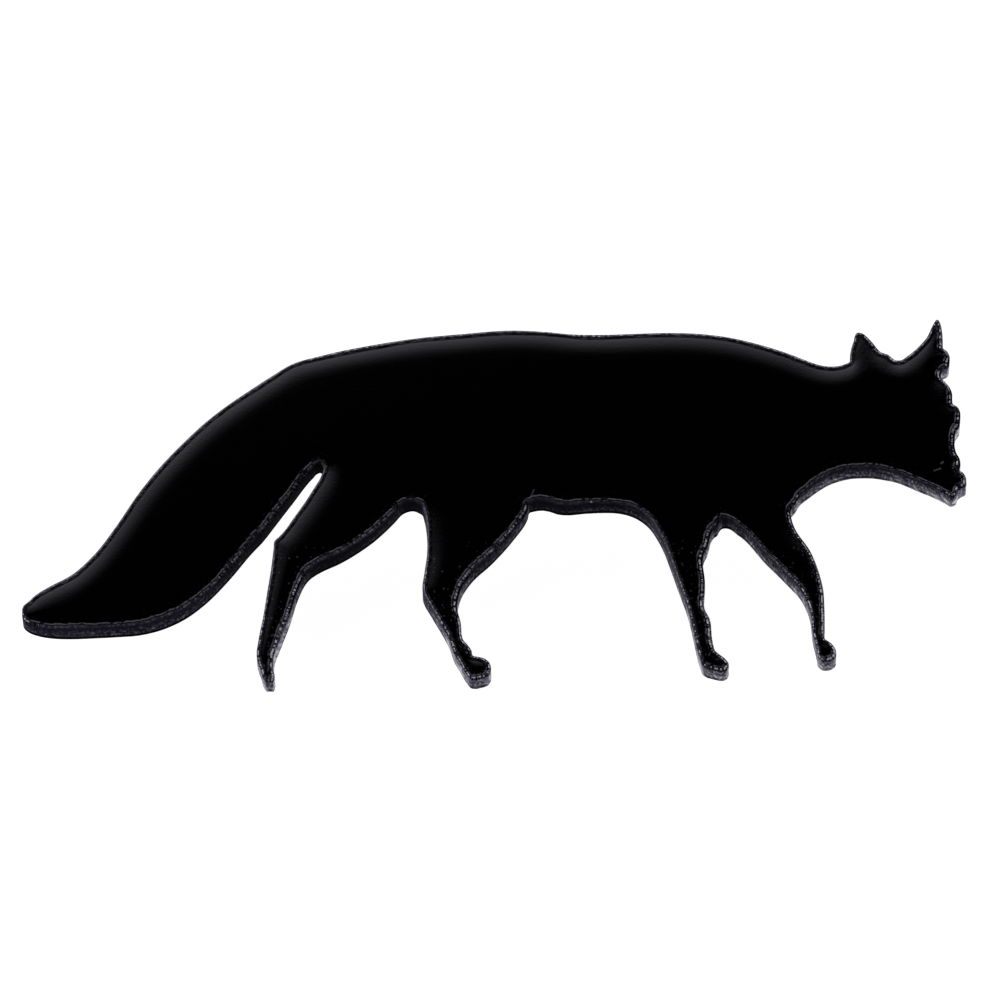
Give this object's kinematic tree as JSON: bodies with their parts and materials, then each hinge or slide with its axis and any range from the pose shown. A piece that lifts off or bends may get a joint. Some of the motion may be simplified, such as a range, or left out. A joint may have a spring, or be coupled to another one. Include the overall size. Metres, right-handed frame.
{
  "type": "brooch",
  "caption": "Flat brooch in the outline of a walking fox, cut from one glossy sheet, with a bar pin and safety catch on its back.",
  "frame": {"origin": "centre of the overall box in X and Y, at the surface that the brooch lies on", "axes": "+X along the fox towards its nose, +Y from its paws to its back, +Z out of the sheet's front face"},
  "size_m": [0.085, 0.0334, 0.0091],
  "materials": {
    "acrylic": "black, polished face, laser-cut edge",
    "pin_metal": "nickel plated"
  },
  "bodies": {
    "root": {"fox_plate": "acrylic", "pin_back": "pin_metal"}
  },
  "joints": []
}
